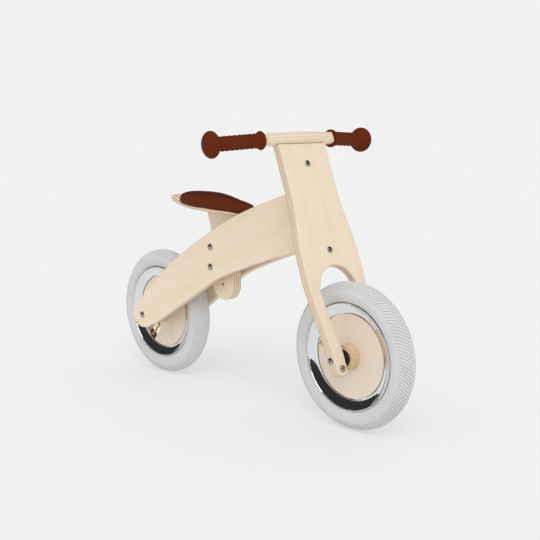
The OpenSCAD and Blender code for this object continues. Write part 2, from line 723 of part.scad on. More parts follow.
module front_tyre() { color("gainsboro") at_wheel(front_x) tyre(); }
module front_inner_tube() { color("dimgray") at_wheel(front_x) inner_tube(front_valve_at); }
module front_rim_tape() { color("dimgray") at_wheel(front_x) rim_tape(front_valve_at); }
module front_rim() { color(steel) at_wheel(front_x) rim(front_valve_at); }
module front_rim_screws() { color(steel) at_wheel(front_x) rim_screws(front_valve_at); }
module front_wheel_disc() { color(birch) at_wheel(front_x) wheel_disc(front_valve_at); }
module front_hub_spacers() { color("burlywood") at_wheel(front_x) hub_spacers(front_hub_end); }
module front_hub_bushes() { color("dimgray") at_wheel(front_x) hub_bushes(front_hub_end); }
module front_valve_stem() { color("goldenrod") at_wheel(front_x) valve_stem(front_valve_at); }
module front_valve_nut() { color("goldenrod") at_wheel(front_x) valve_nut(front_valve_at); }
module front_valve_cap() { color("goldenrod") at_wheel(front_x) valve_cap(front_valve_at); }
module rear_tyre() { color("gainsboro") at_wheel(rear_x) tyre(); }
module rear_inner_tube() { color("dimgray") at_wheel(rear_x) inner_tube(rear_valve_at); }
module rear_rim_tape() { color("dimgray") at_wheel(rear_x) rim_tape(rear_valve_at); }
module rear_rim() { color(steel) at_wheel(rear_x) rim(rear_valve_at); }
module rear_rim_screws() { color(steel) at_wheel(rear_x) rim_screws(rear_valve_at); }
module rear_wheel_disc() { color(birch) at_wheel(rear_x) wheel_disc(rear_valve_at); }
module rear_hub_spacers() { color("burlywood") at_wheel(rear_x) hub_spacers(rear_hub_end); }
module rear_hub_bushes() { color("dimgray") at_wheel(rear_x) hub_bushes(rear_hub_end); }
module rear_valve_stem() { color("goldenrod") at_wheel(rear_x) valve_stem(rear_valve_at); }
module rear_valve_nut() { color("goldenrod") at_wheel(rear_x) valve_nut(rear_valve_at); }
module rear_valve_cap() { color("goldenrod") at_wheel(rear_x) valve_cap(rear_valve_at); }

frame_arm_right();
frame_arm_left();
head_block();
head_dowels();
head_bush_upper();
head_bush_lower();
rear_axle();
rear_axle_bolts();
rear_axle_washers();
seat_post();
seat_spacers();
seat_bolts();
seat_sleeve_nuts();
saddle_base();
saddle_screws();
saddle_cushion();
steering_post();
fork_board();
fork_block_upper();
fork_block_lower();
fork_bolts();
fork_tip_bolts();
handlebar();
handlebar_screws();
handlebar_dowels();
grip_right();
grip_left();
front_axle();
front_axle_bolts();
front_axle_washers();
front_tyre();
front_inner_tube();
front_rim_tape();
front_rim();
front_rim_screws();
front_wheel_disc();
front_hub_spacers();
front_hub_bushes();
front_valve_stem();
front_valve_nut();
front_valve_cap();
rear_tyre();
rear_inner_tube();
rear_rim_tape();
rear_rim();
rear_rim_screws();
rear_wheel_disc();
rear_hub_spacers();
rear_hub_bushes();
rear_valve_stem();
rear_valve_nut();
rear_valve_cap();
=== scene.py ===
# Wooden balance bike: plywood arms and fork board, treaded tyres, chrome rims, a sewn saddle.
# Metres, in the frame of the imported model: +X forward, +Y to the rider's left, +Z up.
import json
import bmesh
import bpy
from math import asin, atan2, cos, pi, radians, sin
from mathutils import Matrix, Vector


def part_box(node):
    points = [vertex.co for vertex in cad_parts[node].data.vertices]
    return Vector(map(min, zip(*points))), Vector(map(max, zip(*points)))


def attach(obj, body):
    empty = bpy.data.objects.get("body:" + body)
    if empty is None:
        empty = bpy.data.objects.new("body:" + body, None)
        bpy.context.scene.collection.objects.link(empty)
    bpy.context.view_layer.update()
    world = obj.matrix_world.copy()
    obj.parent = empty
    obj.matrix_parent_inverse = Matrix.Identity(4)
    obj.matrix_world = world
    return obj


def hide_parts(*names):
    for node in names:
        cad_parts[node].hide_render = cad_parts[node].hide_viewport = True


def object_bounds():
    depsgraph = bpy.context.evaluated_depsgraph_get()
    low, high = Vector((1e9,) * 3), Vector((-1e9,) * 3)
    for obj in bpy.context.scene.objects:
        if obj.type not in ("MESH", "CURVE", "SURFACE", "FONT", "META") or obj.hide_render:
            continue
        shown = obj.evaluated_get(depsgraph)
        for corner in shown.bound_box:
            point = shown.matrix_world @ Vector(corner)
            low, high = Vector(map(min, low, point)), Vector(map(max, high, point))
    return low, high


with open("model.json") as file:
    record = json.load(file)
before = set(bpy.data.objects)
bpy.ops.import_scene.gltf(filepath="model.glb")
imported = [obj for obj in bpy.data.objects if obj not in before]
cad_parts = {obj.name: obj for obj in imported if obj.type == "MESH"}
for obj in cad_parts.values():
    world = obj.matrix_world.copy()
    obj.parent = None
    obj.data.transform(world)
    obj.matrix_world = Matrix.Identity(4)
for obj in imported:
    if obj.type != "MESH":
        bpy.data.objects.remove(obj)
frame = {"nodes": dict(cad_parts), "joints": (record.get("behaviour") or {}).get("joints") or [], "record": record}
cad_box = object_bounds()
nodes = frame["nodes"]
body_of_node = {n: b for b, names in frame["record"]["behaviour"]["bodies"].items() for n in names}
slot_of_node = {s["node"]: s["material_slot"] for s in frame["record"]["subparts"]}
joints = {j["name"]: j for j in frame["joints"]}

ACROSS = Vector((0, 1, 0))
UP = Vector((0, 0, 1))
FORK_UP = Vector(joints["steering_turn"]["axis"]).normalized()
FORK_OUT = ACROSS.cross(FORK_UP).normalized()


# ---------- shader building ----------

class Graph:
    """Short words for adding nodes to one tree."""

    def __init__(self, tree):
        self.tree = tree

    def join(self, value, socket):
        if isinstance(value, bpy.types.NodeSocket):
            self.tree.links.new(value, socket)
        else:
            socket.default_value = value

    def node(self, kind, values=None, **settings):
        made = self.tree.nodes.new("ShaderNode" + kind)
        for name, setting in settings.items():
            setattr(made, name, setting)
        for socket, value in (values or {}).items():
            self.join(value, made.inputs[socket])
        return made

    def math(self, operation, *values, clamp=False):
        made = self.node("Math", dict(enumerate(values)), operation=operation, use_clamp=clamp)
        return made.outputs[0]

    def dot(self, a, b):
        return self.node("VectorMath", {0: a, 1: b}, operation="DOT_PRODUCT").outputs["Value"]

    def cross(self, a, b):
        return self.node("VectorMath", {0: a, 1: b}, operation="CROSS_PRODUCT").outputs[0]

    def vector(self, x, y, z):
        return self.node("CombineXYZ", {0: x, 1: y, 2: z}).outputs[0]

    def times(self, vector, factor):
        made = self.node("VectorMath", {0: vector, "Scale": factor}, operation="SCALE")
        return made.outputs[0]

    def noise(self, vector, scale=1.0, detail=3.0, rough=0.55):
        made = self.node("TexNoise", {"Vector": vector, "Scale": scale, "Detail": detail,
                                      "Roughness": rough})
        return made.outputs["Fac"]

    def mix(self, factor, a, b):
        made = self.node("Mix", data_type="RGBA")
        for socket, value in ((0, factor), (6, a), (7, b)):
            self.join(value, made.inputs[socket])
        return made.outputs[2]

    def range(self, value, low, high, new_low=0.0, new_high=1.0):
        made = self.node("MapRange", {0: value, 1: low, 2: high, 3: new_low, 4: new_high},
                         interpolation_type="SMOOTHSTEP")
        return made.outputs[0]


def group(name, inputs, outputs):
    """A shader node group with named sockets: (its tree, its graph, its input sockets, its end)."""
    tree = bpy.data.node_groups.new(name, "ShaderNodeTree")
    kinds = {"value": "NodeSocketFloat", "colour": "NodeSocketColor", "vector": "NodeSocketVector"}
    for socket, (kind, default) in inputs.items():
        made = tree.interface.new_socket(socket, in_out="INPUT", socket_type=kinds[kind])
        made.default_value = default
    for socket, kind in outputs.items():
        tree.interface.new_socket(socket, in_out="OUTPUT", socket_type=kinds[kind])
    start = tree.nodes.new("NodeGroupInput")
    end = tree.nodes.new("NodeGroupOutput")
    return tree, Graph(tree), start.outputs, end.inputs


def board_grain():
    """Lacquered timber: streaks along the grain, bands, pores, and plywood layers on cut edges. The dark layer
    colour on the cut edges is partly painted shade.
    """
    tree, g, given, out = group("Board grain", {
        "Along": ("vector", (1, 0, 0)), "Through": ("vector", (0, 1, 0)),
        "Pale": ("colour", (0.8, 0.65, 0.45, 1)), "Dark": ("colour", (0.6, 0.42, 0.24, 1)),
        "Edge": ("colour", (0.55, 0.38, 0.2, 1)), "Layer": ("value", 0.0016),
        "Ply": ("value", 1.0), "Contrast": ("value", 1.0)},
        {"Color": "colour", "Height": "value", "Rough": "value"})
    where = g.node("TexCoord").outputs
    place, facing = where["Object"], where["Normal"]
    side = g.cross(given["Along"], given["Through"])
    along = g.dot(place, given["Along"])
    through = g.dot(place, given["Through"])
    cross = g.dot(place, side)
    drift = g.noise(g.vector(g.math("MULTIPLY", along, 3.0), g.math("MULTIPLY", cross, 9.0),
                             g.math("MULTIPLY", through, 9.0)), detail=2.0)
    bent = g.math("ADD", g.math("MULTIPLY", cross, 52.0), g.math("MULTIPLY", drift, 5.0))
    bands = g.math("SINE", g.math("MULTIPLY", bent, 2.2))
    bands = g.math("MULTIPLY_ADD", bands, 0.5, 0.5)
    streaks = g.noise(g.vector(g.math("MULTIPLY", along, 9.0), g.math("MULTIPLY", cross, 260.0),
                               g.math("MULTIPLY", through, 260.0)), detail=4.0)
    pores = g.noise(g.vector(g.math("MULTIPLY", along, 110.0), g.math("MULTIPLY", cross, 1500.0),
                             g.math("MULTIPLY", through, 1500.0)), detail=1.0)
    pores = g.range(pores, 0.62, 0.74)
    cloud = g.noise(place, scale=7.0, detail=2.0)
    dark = g.math("ADD", g.math("MULTIPLY", g.math("POWER", bands, 3.0), 0.26),
                  g.math("MULTIPLY", g.range(streaks, 0.4, 0.75), 0.42))
    dark = g.math("ADD", dark, g.math("MULTIPLY", g.range(cloud, 0.4, 0.75), 0.22))
    dark = g.math("ADD", dark, g.math("MULTIPLY", pores, 0.16))
    dark = g.math("MULTIPLY", dark, given["Contrast"], clamp=True)
    face = g.mix(dark, given["Pale"], given["Dark"])
    level = g.math("PINGPONG", g.math("DIVIDE", through, given["Layer"]), 1.0)
    odd = g.range(level, 0.42, 0.58)
    glue = g.range(g.math("ABSOLUTE", g.math("SUBTRACT", level, 0.5)), 0.02, 0.1, 1.0, 0.0)
    layer = g.math("ADD", g.math("MULTIPLY", odd, 0.55), g.math("MULTIPLY", glue, 0.35))
    layer = g.math("ADD", layer, g.math("MULTIPLY", streaks, 0.25), clamp=True)
    # The edge colour draws the ply stripes. For birch it is also darker as painted shade on the cut edges.
    edge = g.mix(layer, given["Pale"], given["Edge"])
    turned = g.math("ABSOLUTE", g.dot(facing, given["Through"]))
    on_edge = g.math("MULTIPLY", g.range(turned, 0.45, 0.85, 1.0, 0.0), given["Ply"])
    g.join(g.mix(on_edge, face, edge), out["Color"])
    height = g.math("SUBTRACT", g.math("MULTIPLY", streaks, 0.5), g.math("MULTIPLY", pores, 0.8))
    height = g.math("SUBTRACT", height, g.math("MULTIPLY", g.math("MULTIPLY", glue, on_edge), 1.2))
    g.join(height, out["Height"])
    rough = g.math("MULTIPLY_ADD", streaks, 0.16, 0.36)
    g.join(g.math("MULTIPLY_ADD", on_edge, 0.14, rough), out["Rough"])
    return tree


def worn_speckle():
    """Fine mottling, dust and handling marks for rubber, metal and plastic."""
    tree, g, given, out = group("Worn speckle", {
        "Base": ("colour", (0.5, 0.5, 0.5, 1)), "Dust": ("colour", (0.6, 0.58, 0.55, 1)),
        "Fine": ("value", 900.0), "Amount": ("value", 0.15), "Rough": ("value", 0.5),
        "Spread": ("value", 0.1)},
        {"Color": "colour", "Height": "value", "Rough": "value"})
    place = g.node("TexCoord").outputs["Object"]
    fine = g.noise(place, scale=given["Fine"], detail=3.0)
    broad = g.noise(place, scale=22.0, detail=4.0, rough=0.65)
    patch = g.range(broad, 0.42, 0.72)
    dusty = g.math("MULTIPLY_ADD", fine, 0.5, patch)
    dusty = g.math("MULTIPLY", dusty, given["Amount"], clamp=True)
    g.join(g.mix(dusty, given["Base"], given["Dust"]), out["Color"])
    g.join(fine, out["Height"])
    swing = g.math("SUBTRACT", g.math("ADD", patch, fine), 0.75)
    swing = g.math("MULTIPLY", swing, given["Spread"])
    g.join(g.math("ADD", given["Rough"], swing, clamp=True), out["Rough"])
    return tree


def hide_grain():
    """Small leather cells with creases between them."""
    tree, g, given, out = group("Hide grain", {
        "Base": ("colour", (0.2, 0.07, 0.03, 1)), "Crease": ("colour", (0.1, 0.03, 0.01, 1)),
        "Cells": ("value", 620.0)}, {"Color": "colour", "Height": "value", "Rough": "value"})
    place = g.node("TexCoord").outputs["Object"]
    shift = g.noise(place, scale=240.0, detail=2.0)
    bent = g.node("VectorMath", {0: place, 1: g.times(g.vector(shift, shift, shift), 0.0012)},
                  operation="ADD").outputs[0]
    cells = g.node("TexVoronoi", {"Vector": bent, "Scale": given["Cells"]},
                   feature="DISTANCE_TO_EDGE").outputs["Distance"]
    crease = g.range(cells, 0.0, 0.16, 1.0, 0.0)
    broad = g.noise(place, scale=26.0, detail=3.0)
    rub = g.range(broad, 0.45, 0.75)
    tint = g.math("ADD", g.math("MULTIPLY", crease, 0.5), g.math("MULTIPLY", rub, 0.28), clamp=True)
    g.join(g.mix(tint, given["Base"], given["Crease"]), out["Color"])
    g.join(g.math("SUBTRACT", g.math("MULTIPLY", broad, 0.2), crease), out["Height"])
    g.join(g.math("MULTIPLY_ADD", rub, 0.12, 0.46), out["Rough"])
    return tree


GROUPS = {"board": board_grain(), "speckle": worn_speckle(), "hide": hide_grain()}


def material(name, effect, values, bump=(0.1, 0.0002), **shader_values):
    """A material whose colour, roughness and relief come from one of the groups."""
    made = bpy.data.materials.new(name)
    made.use_nodes = True
    tree = made.node_tree
    g = Graph(tree)
    shader = tree.nodes["Principled BSDF"]
    used = g.node("Group", node_tree=GROUPS[effect])
    for socket, value in values.items():
        g.join(value, used.inputs[socket])
    g.join(used.outputs["Color"], shader.inputs["Base Color"])
    g.join(used.outputs["Rough"], shader.inputs["Roughness"])
    strength, distance = bump
    relief = g.node("Bump", {"Strength": strength, "Distance": distance,
                             "Height": used.outputs["Height"]})
    g.join(relief.outputs[0], shader.inputs["Normal"])
    for socket, value in shader_values.items():
        shader.inputs[socket.replace("_", " ")].default_value = value
    return made


BIRCH_PALE = (0.85, 0.715, 0.55, 1)
BIRCH_DARK = (0.77, 0.615, 0.44, 1)
# Ply layer colour of cut edges: real darker layers, made darker still as painted shade on the board edges.
BIRCH_EDGE_AND_SHADE = (0.54, 0.36, 0.20, 1)
DISC_PALE = (0.81, 0.70, 0.575, 1)
DISC_DARK = (0.73, 0.605, 0.465, 1)
BEECH_PALE = (0.76, 0.55, 0.35, 1)
BEECH_DARK = (0.62, 0.40, 0.22, 1)
LACQUER = {"Coat_Weight": 0.25, "Coat_Roughness": 0.22}
PLY_LAYER = 0.0029


def birch(name, along, through, ply=1.0, contrast=1.0, pale=BIRCH_PALE, dark=BIRCH_DARK):
    """Birch plywood with the grain along one direction and its layers stacked through another."""
    return material(name, "board", {
        "Along": tuple(along), "Through": tuple(through), "Pale": pale, "Dark": dark,
        "Edge": BIRCH_EDGE_AND_SHADE, "Layer": PLY_LAYER, "Ply": ply, "Contrast": contrast}, **LACQUER)


def beech(name, along, through):
    """Solid beech, with no layers."""
    return material(name, "board", {
        "Along": tuple(along), "Through": tuple(through), "Pale": BEECH_PALE, "Dark": BEECH_DARK,
        "Edge": BEECH_DARK, "Ply": 0.0}, **LACQUER)


def plain(name, base, dust, rough, fine=900.0, amount=0.15, spread=0.1, bump=(0.08, 0.0001),
          **shader_values):
    """Metal, rubber, plastic or paper with a base colour and a share of dust."""
    return material(name, "speckle", {"Base": base, "Dust": dust, "Fine": fine, "Amount": amount,
                                      "Rough": rough, "Spread": spread}, bump, **shader_values)


STEEL = plain("zinc_steel", (0.44, 0.43, 0.42, 1), (0.28, 0.27, 0.26, 1), 0.2, 1800.0, 0.3,
              Metallic=1.0)
CHROME = plain("polished_chrome", (0.80, 0.81, 0.83, 1), (0.68, 0.69, 0.7, 1), 0.07, 300.0, 0.2,
               0.05, (0.02, 0.0001), Metallic=1.0)
BRASS = plain("valve_brass", (0.78, 0.52, 0.18, 1), (0.5, 0.32, 0.12, 1), 0.26, 1500.0, 0.3,
              Metallic=1.0)
NYLON = plain("black_nylon", (0.012, 0.012, 0.013, 1), (0.05, 0.05, 0.05, 1), 0.5, 1200.0)
BLACK_RUBBER = plain("black_rubber", (0.02, 0.02, 0.02, 1), (0.06, 0.06, 0.06, 1), 0.75)
TYRE_RUBBER = plain("pale_tyre_rubber", (0.665, 0.665, 0.67, 1), (0.53, 0.53, 0.535, 1), 0.66,
                    1100.0, 0.28, 0.1, (0.2, 0.0002))
GRIP_RUBBER = plain("rust_grip_rubber", (0.125, 0.018, 0.002, 1), (0.15, 0.026, 0.005, 1), 0.7,
                    1600.0, 0.3, 0.12, (0.25, 0.00015), Specular_IOR_Level=0.12)
LEATHER = material("rust_leather", "hide", {"Base": (0.135, 0.023, 0.003, 1),
                                            "Crease": (0.08, 0.013, 0.002, 1)}, (0.35, 0.0002),
                   Specular_IOR_Level=0.15)
THREAD = plain("saddle_thread", (0.10, 0.02, 0.006, 1), (0.14, 0.04, 0.015, 1), 0.7, 2600.0, 0.4)
BEECH_ALONG_BAR = beech("beech_dowel", ACROSS, UP)
BEECH_BLOCK = beech("beech_block", FORK_UP, FORK_OUT)

FINISH_OF_SLOT = {"steel": STEEL, "chrome": CHROME, "brass": BRASS, "black_nylon": NYLON,
                  "inner_rubber": BLACK_RUBBER, "tyre_rubber": TYRE_RUBBER,
                  "hardwood": BEECH_BLOCK, "grip_rubber": GRIP_RUBBER, "saddle_leather": LEATHER}


def paint(obj, finish):
    """Puts one finish on a piece, on the object's own slot where the mesh is the frame's."""
    if not obj.material_slots:
        obj.data.materials.append(finish)
    for slot in obj.material_slots:
        slot.link = "OBJECT"
        slot.material = finish


# ---------- mesh building ----------

def new_piece(name, mesh_maker, finish, node, smooth_angle=35):
    """A finished piece that stands for a CAD node and rides on its body."""
    mesh = bpy.data.meshes.new(name)
    bm = bmesh.new()
    mesh_maker(bm)
    bmesh.ops.recalc_face_normals(bm, faces=bm.faces)
    bm.to_mesh(mesh)
    bm.free()
    mesh.shade_smooth()
    mesh.set_sharp_from_angle(angle=radians(smooth_angle))
    obj = bpy.data.objects.new(name, mesh)
    bpy.context.scene.collection.objects.link(obj)
    mesh.materials.append(finish)
    if node:
        hand_over(obj, node)
    return obj


def hand_over(obj, *replaced, body=None, slot=None):
    """Replaces CAD nodes by a piece, on their body; the slot argument is not used."""
    if replaced:
        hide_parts(*replaced)
    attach(obj, body or body_of_node[replaced[0]])
    slot or slot_of_node[replaced[0]]


def ring_grid(bm, rings, capped=False):
    """Faces between rings of points: the last ring leads to the first, or both ends are capped."""
    rows = [[bm.verts.new(p) for p in ring] for ring in rings]
    for a, b in zip(rows, rows[1:] if capped else rows[1:] + rows[:1]):
        for k in range(len(a)):
            n = (k + 1) % len(a)
            bm.faces.new((a[k], a[n], b[n], b[k]))
    if not capped:
        return
    for row in (rows[0], rows[-1]):
        hub = bm.verts.new(sum((v.co for v in row), Vector()) / len(row))
        for k in range(len(row)):
            bm.faces.new((row[k], row[(k + 1) % len(row)], hub))


def lathe(bm, profile, centre, axis, segments=96):
    """Turns a closed outline of (radius, along) points about an axis."""
    x = axis.orthogonal().normalized()
    y = axis.cross(x).normalized()
    turns = [(cos(2 * pi * k / segments), sin(2 * pi * k / segments)) for k in range(segments)]
    on_axis = 1e-7
    rows = []
    for radius, along in profile:
        base = centre + axis * along
        if radius < on_axis:
            rows.append([bm.verts.new(base)] * segments)
        else:
            rows.append([bm.verts.new(base + (x * c + y * s) * radius) for c, s in turns])
    for a, b in zip(rows, rows[1:] + rows[:1]):
        for k in range(segments):
            n = (k + 1) % segments
            corners = []
            for v in (a[k], a[n], b[n], b[k]):
                if v not in corners:
                    corners.append(v)
            if len(corners) > 2:
                bm.faces.new(corners)


def arc(centre, radius, start, end, steps):
    """Points of an arc in a profile, angles in degrees."""
    return [(centre[0] + radius * cos(radians(start + (end - start) * k / steps)),
             centre[1] + radius * sin(radians(start + (end - start) * k / steps)))
            for k in range(steps + 1)]


def cut(obj, maker):
    """Takes a tool shape away from a piece and keeps the result as its mesh."""
    mesh = bpy.data.meshes.new("tool")
    bm = bmesh.new()
    maker(bm)
    bmesh.ops.recalc_face_normals(bm, faces=bm.faces)
    bm.to_mesh(mesh)
    bm.free()
    tool = bpy.data.objects.new("tool", mesh)
    bpy.context.scene.collection.objects.link(tool)
    knife = obj.modifiers.new("cut", "BOOLEAN")
    knife.operation = "DIFFERENCE"
    knife.solver = "EXACT"
    knife.object = tool
    settle(obj)
    bpy.data.objects.remove(tool)


def settle(obj):
    """Applies every modifier of a piece."""
    bpy.context.view_layer.update()
    done = bpy.data.meshes.new_from_object(obj.evaluated_get(bpy.context.evaluated_depsgraph_get()))
    obj.modifiers.clear()
    old = obj.data
    obj.data = done
    bpy.data.meshes.remove(old)


# ---------- wooden boards ----------

SMALL_LOOP = 0.026
TENDER_ROOM = 0.010
TENDER_FADE = 0.03
LEAST_ROUND = 0.3
BOARD_ROUND = 0.003
ARM_ROUND = 0.0025
BLOCK_ROUND = 0.002
DISC_ROUND = 0.0012


def edge_loops(edges):
    """Groups of edges that hang together."""
    left = set(edges)
    while left:
        loop = [left.pop()]
        for edge in loop:
            for vert in edge.verts:
                for other in vert.link_edges:
                    if other in left:
                        left.remove(other)
                        loop.append(other)
        yield loop


def rounded_board(name, node, finish, radius, through=None, tender=()):
    """The CAD board with its long edges rounded. Holes stay sharp, and the round is small near
    the tender places, where a bolt sits in the edge. Without a through direction, every sharp
    edge of the block is rounded."""
    mesh = nodes[node].data.copy()
    mesh.name = name
    bm = bmesh.new()
    bm.from_mesh(mesh)
    bmesh.ops.remove_doubles(bm, verts=bm.verts, dist=2e-6)
    bmesh.ops.dissolve_limit(bm, angle_limit=radians(0.6), verts=bm.verts, edges=bm.edges)
    weight = bm.edges.layers.float.new("bevel_weight_edge")
    chosen = []
    for edge in bm.edges:
        if len(edge.link_faces) != 2:
            continue
        a, b = (face.normal for face in edge.link_faces)
        if through is None:
            if a.angle(b) > radians(50):
                chosen.append(edge)
        else:
            flat, wall = sorted((abs(a.dot(through)), abs(b.dot(through))), reverse=True)
            if flat > 0.9 and wall < 0.4:
                chosen.append(edge)
    for loop in edge_loops(chosen):
        points = [v.co for e in loop for v in e.verts]
        spread = Vector([max(p[i] for p in points) - min(p[i] for p in points) for i in range(3)])
        if spread.length < SMALL_LOOP:
            continue
        for edge in loop:
            middle = (edge.verts[0].co + edge.verts[1].co) / 2
            room = min([(middle - spot).length for spot in tender] + [1.0])
            edge[weight] = min(1.0, max(LEAST_ROUND, (room - TENDER_ROOM) / TENDER_FADE))
    for face in bm.faces:
        face.smooth = True
    bm.to_mesh(mesh)
    bm.free()
    obj = bpy.data.objects.new(name, mesh)
    bpy.context.scene.collection.objects.link(obj)
    mesh.materials.clear()
    mesh.materials.append(finish)
    rounder = obj.modifiers.new("round", "BEVEL")
    rounder.limit_method = "WEIGHT"
    rounder.width = radius
    rounder.segments = 3
    rounder.use_clamp_overlap = False
    settle(obj)
    obj.data.shade_smooth()
    obj.data.set_sharp_from_angle(angle=radians(40))
    even = obj.modifiers.new("even_shading", "WEIGHTED_NORMAL")
    even.keep_sharp = True
    hand_over(obj, node)
    return obj


def main_normal(node):
    """The direction of a board's thickness: that of its largest face."""
    sums = {}
    for face in nodes[node].data.polygons:
        key = tuple(round(abs(c), 2) for c in face.normal)
        total, normal = sums.get(key, (0.0, face.normal.copy()))
        sums[key] = (total + face.area, normal)
    return max(sums.values(), key=lambda s: s[0])[1].normalized()


def middle(node):
    """The middle of a CAD node's box."""
    low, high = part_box(node)
    return (low + high) / 2


def wooden_pieces():
    """Every board and block with rounded edges, and grain on the bar."""
    axle_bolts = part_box("front_axle_bolts")
    axle = middle("front_axle")
    side_bolts = [Vector((axle.x, y, axle.z)) for y in (axle_bolts[0].y, axle_bolts[1].y)]
    rounded_board("fork_board_wood", "fork_board", birch("birch_fork", FORK_UP, FORK_OUT),
                  BOARD_ROUND, FORK_OUT, side_bolts)
    rise = middle("head_block") - middle("rear_axle")
    for side in ("right", "left"):
        node = "frame_arm_" + side
        through = main_normal(node)
        along = (rise - through * rise.dot(through)).normalized()
        rounded_board("arm_wood_" + side, node, birch("birch_arm_" + side, along, through),
                      ARM_ROUND, through)
    rounded_board("seat_post_wood", "seat_post", birch("birch_post", UP, ACROSS), ARM_ROUND,
                  ACROSS)
    tilt = main_normal("saddle_base")
    rounded_board("saddle_base_wood", "saddle_base",
                  birch("birch_saddle", ACROSS.cross(tilt), tilt), BOARD_ROUND, tilt)
    for block in ("fork_block_upper", "fork_block_lower"):
        rounded_board(block + "_wood", block, BEECH_BLOCK, BLOCK_ROUND)
    for end in ("front", "rear"):
        disc_birch = birch(f"birch_{end}_disc", UP, ACROSS, contrast=0.8, pale=DISC_PALE,
                           dark=DISC_DARK)
        rounded_board(end + "_disc_wood", end + "_wheel_disc", disc_birch, DISC_ROUND, ACROSS)
    bar = nodes["handlebar"]
    paint(bar, birch("birch_bar", ACROSS, FORK_UP, ply=0.35))
    bar.modifiers.new("even_shading", "WEIGHTED_NORMAL")


# ---------- wheels ----------

RIM_LIP = 0.0014
GROOVES = 128
GROOVE_DEPTH = 0.0016
GROOVE_SHAPE = ((0.0, 0), (0.09, 1), (0.25, 1), (0.34, 0))
TREAD_SLANT = radians(8.5)
TREAD_FROM, TREAD_TO, TREAD_STEPS = 14, 166, 26
SHOULDER_STEPS = 3.0
WALL_FROM, WALL_STEP, WALL_ROWS = -22, 1.8, 20
WALL_LINES = (5, 9, 13, 17)
LINE_DEPTH = 0.00035
TYRE_WALL = 0.004
BEAD_DEPTH = 0.0045
RIM_SHEET = 0.0012
RIM_STEPS = 12
VALVE_HOLE = 0.0036


def tyre(end):
    """Round tyre with real chevron grooves over the tread and fine lines round its side walls."""
    node = end + "_tyre"
    low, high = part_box(node)
    centre = (low + high) / 2
    outer = (high.x - low.x) / 2
    half = (high.y - low.y) / 2
    rim_low, rim_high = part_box(end + "_rim")
    rim_outer = (rim_high.x - rim_low.x) / 2
    seat = (rim_high.y - rim_low.y) / 2 - BEAD_DEPTH
    bead = rim_outer - BEAD_DEPTH
    section = (outer - rim_outer + 0.0104) / 2
    mid = outer - section

    def skin(angle):
        return mid + section * sin(radians(angle)), half * cos(radians(angle))

    side_wall = [(WALL_FROM + WALL_STEP * k, -LINE_DEPTH if k in WALL_LINES else 0.0, 0.0)
                 for k in range(WALL_ROWS)]
    rows = list(side_wall)
    for k in range(TREAD_STEPS + 1):
        angle = TREAD_FROM + (TREAD_TO - TREAD_FROM) * k / TREAD_STEPS
        rows.append((angle, 0.0, min(1.0, min(k, TREAD_STEPS - k) / SHOULDER_STEPS)))
    rows += [(180 - angle, line, deep) for angle, line, deep in reversed(side_wall)]
    spots = [2 * pi * (groove + share) / GROOVES for groove in range(GROOVES)
             for share, _ in GROOVE_SHAPE]
    sunk = [depth for _ in range(GROOVES) for _, depth in GROOVE_SHAPE]

    def build(bm):
        rings = []
        for angle, line, deep in rows:
            r, y = skin(angle)
            turn = TREAD_SLANT * abs(y) / half
            out, over = sin(radians(angle)), cos(radians(angle))
            ring = []
            for spot, depth in zip(spots, sunk):
                drop = line - GROOVE_DEPTH * deep * depth
                rr, yy = r + drop * out, y + drop * over
                ring.append(centre + Vector((rr * cos(spot + turn), yy, rr * sin(spot + turn))))
            rings.append(ring)
        foot = [(rim_outer - 0.0011, -seat), (bead, -seat), (bead - 0.0002, -seat + 0.0045),
                (rim_outer - 0.0014, -seat + 0.0041)]
        inside = [(mid + (section - TYRE_WALL) * sin(radians(a)),
                   (half - TYRE_WALL) * cos(radians(a))) for a in range(200, -21, -20)]
        for r, y in foot + inside + [(r, -y) for r, y in reversed(foot)]:
            turn = TREAD_SLANT * min(1.0, abs(y) / half)
            rings.append([centre + Vector((r * cos(spot + turn), y, r * sin(spot + turn)))
                          for spot in spots])
        ring_grid(bm, rings)

    new_piece(end + "_tread_tyre", build, TYRE_RUBBER, node, 50)


def rim(end):
    """Spun rim: a smooth dish from the drop well up to a rolled lip, the same on both sides."""
    node = end + "_rim"
    low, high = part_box(node)
    disc_low, disc_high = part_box(end + "_wheel_disc")
    centre = (low + high) / 2
    outer = (high.x - low.x) / 2
    half = (high.y - low.y) / 2
    well = (disc_high.x - disc_low.x) / 2 + 0.0003
    lip = outer - RIM_LIP
    dish = [(well, 0.0052), (well + 0.0013, 0.0052)]
    floor_half, dish_in = 0.0088, half - 0.0008
    for k in range(RIM_STEPS + 1):
        share = k / RIM_STEPS
        rise = 0.22 * share + 0.78 * share ** 1.7
        dish.append((well + 0.0018 + (lip - 0.0026 - well) * share,
                     floor_half + (dish_in - floor_half) * rise))
    roll = [(lip - 0.0002, half - 0.0008), (lip + 0.0004, half), (lip + 0.0012, half - 0.0002),
            (lip + 0.0013, half - 0.001)]
    back = [(lip + 0.0002, half - 0.0022)]
    back += [(r + 0.0008, y - 0.0009) for r, y in reversed(dish[3:-1])]
    back += [(well + 0.0028, 0.0042)]
    side = [(well, 0.0036)] + dish + roll + back + [(well + RIM_SHEET, 0.0036)]
    profile = side + [(r, -y) for r, y in reversed(side)]

    def build(bm):
        lathe(bm, profile, centre, ACROSS, 192)

    made = new_piece(end + "_spun_rim", build, CHROME, node, 40)
    stem = middle(end + "_valve_stem")
    way = Vector((stem.x - centre.x, 0, stem.z - centre.z)).normalized()
    drill = [(0, 0.05), (VALVE_HOLE, 0.05), (VALVE_HOLE, 0.11), (0, 0.11)]
    cut(made, lambda bm: lathe(bm, drill, centre, way, 24))
    made.data.shade_smooth()
    made.data.set_sharp_from_angle(angle=radians(40))


# ---------- grips ----------

